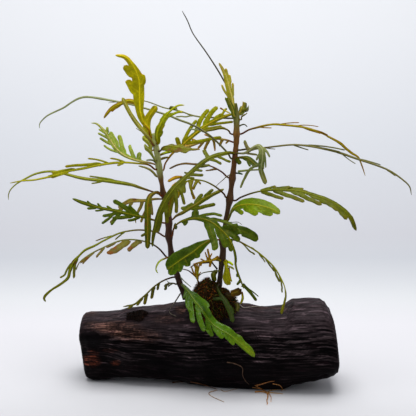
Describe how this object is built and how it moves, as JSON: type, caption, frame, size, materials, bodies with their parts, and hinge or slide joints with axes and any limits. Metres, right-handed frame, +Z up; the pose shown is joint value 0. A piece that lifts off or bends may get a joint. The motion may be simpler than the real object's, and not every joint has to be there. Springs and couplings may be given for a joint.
{
  "type": "aquarium plant on driftwood",
  "caption": "Water plant with two upright stems of long lobed leaves, rooted in moss on a dark log of driftwood that lies on its own flat underside.",
  "frame": {"origin": "a point of the log's flat underside, below the stems", "axes": "+X along the log to the picture's right, +Y away from the viewer, +Z up from the surface it rests on"},
  "size_m": [0.2485, 0.0805, 0.2318],
  "materials": {
    "driftwood": "dark, waterlogged, damp and rough",
    "stem": "smooth skin, maroon brown",
    "green": "soft leaf, half glossy",
    "dark": "soft leaf, half glossy",
    "olive": "soft leaf, half glossy",
    "brown": "soft leaf, ageing, dull",
    "grey": "soft leaf, silvery bloom",
    "moss": "matted and fibrous",
    "root": "dull, fibrous"
  },
  "bodies": {
    "root": {"driftwood": "driftwood", "stem_left": "stem", "stem_right": "stem", "moss_mat": "moss", "moss_patch": "moss", "root_prop": "root", "root_pale": "root", "root_front": "root", "root_on_ground": "root", "leaf_left_01": "olive", "leaf_left_02": "olive", "leaf_left_03": "olive", "leaf_left_04": "brown", "leaf_left_05": "olive", "leaf_left_06": "olive", "leaf_left_07": "olive", "leaf_left_08": "green", "leaf_left_09": "olive", "leaf_left_10": "olive", "leaf_left_11": "grey", "leaf_left_12": "olive", "leaf_left_13": "green", "leaf_left_14": "dark", "leaf_left_15": "grey", "leaf_left_16": "dark", "leaf_left_17": "olive", "leaf_left_18": "brown", "leaf_left_19": "olive", "leaf_left_20": "green", "leaf_left_21": "green", "leaf_left_22": "dark", "leaf_left_23": "green", "leaf_right_01": "grey", "leaf_right_02": "olive", "leaf_right_03": "dark", "leaf_right_04": "dark", "leaf_right_05": "dark", "leaf_right_06": "grey", "leaf_right_07": "grey", "leaf_right_08": "olive", "leaf_right_09": "brown", "leaf_right_10": "olive", "leaf_right_11": "brown", "leaf_right_12": "green", "leaf_right_13": "brown", "leaf_right_14": "grey", "leaf_right_15": "grey", "leaf_right_16": "dark", "leaf_right_17": "dark", "leaf_right_18": "olive", "leaf_right_19": "green", "leaf_right_20": "olive", "leaf_right_21": "olive", "leaf_right_22": "green", "sprig_upper": "brown", "sprig_lower": "brown"}
  },
  "joints": []
}
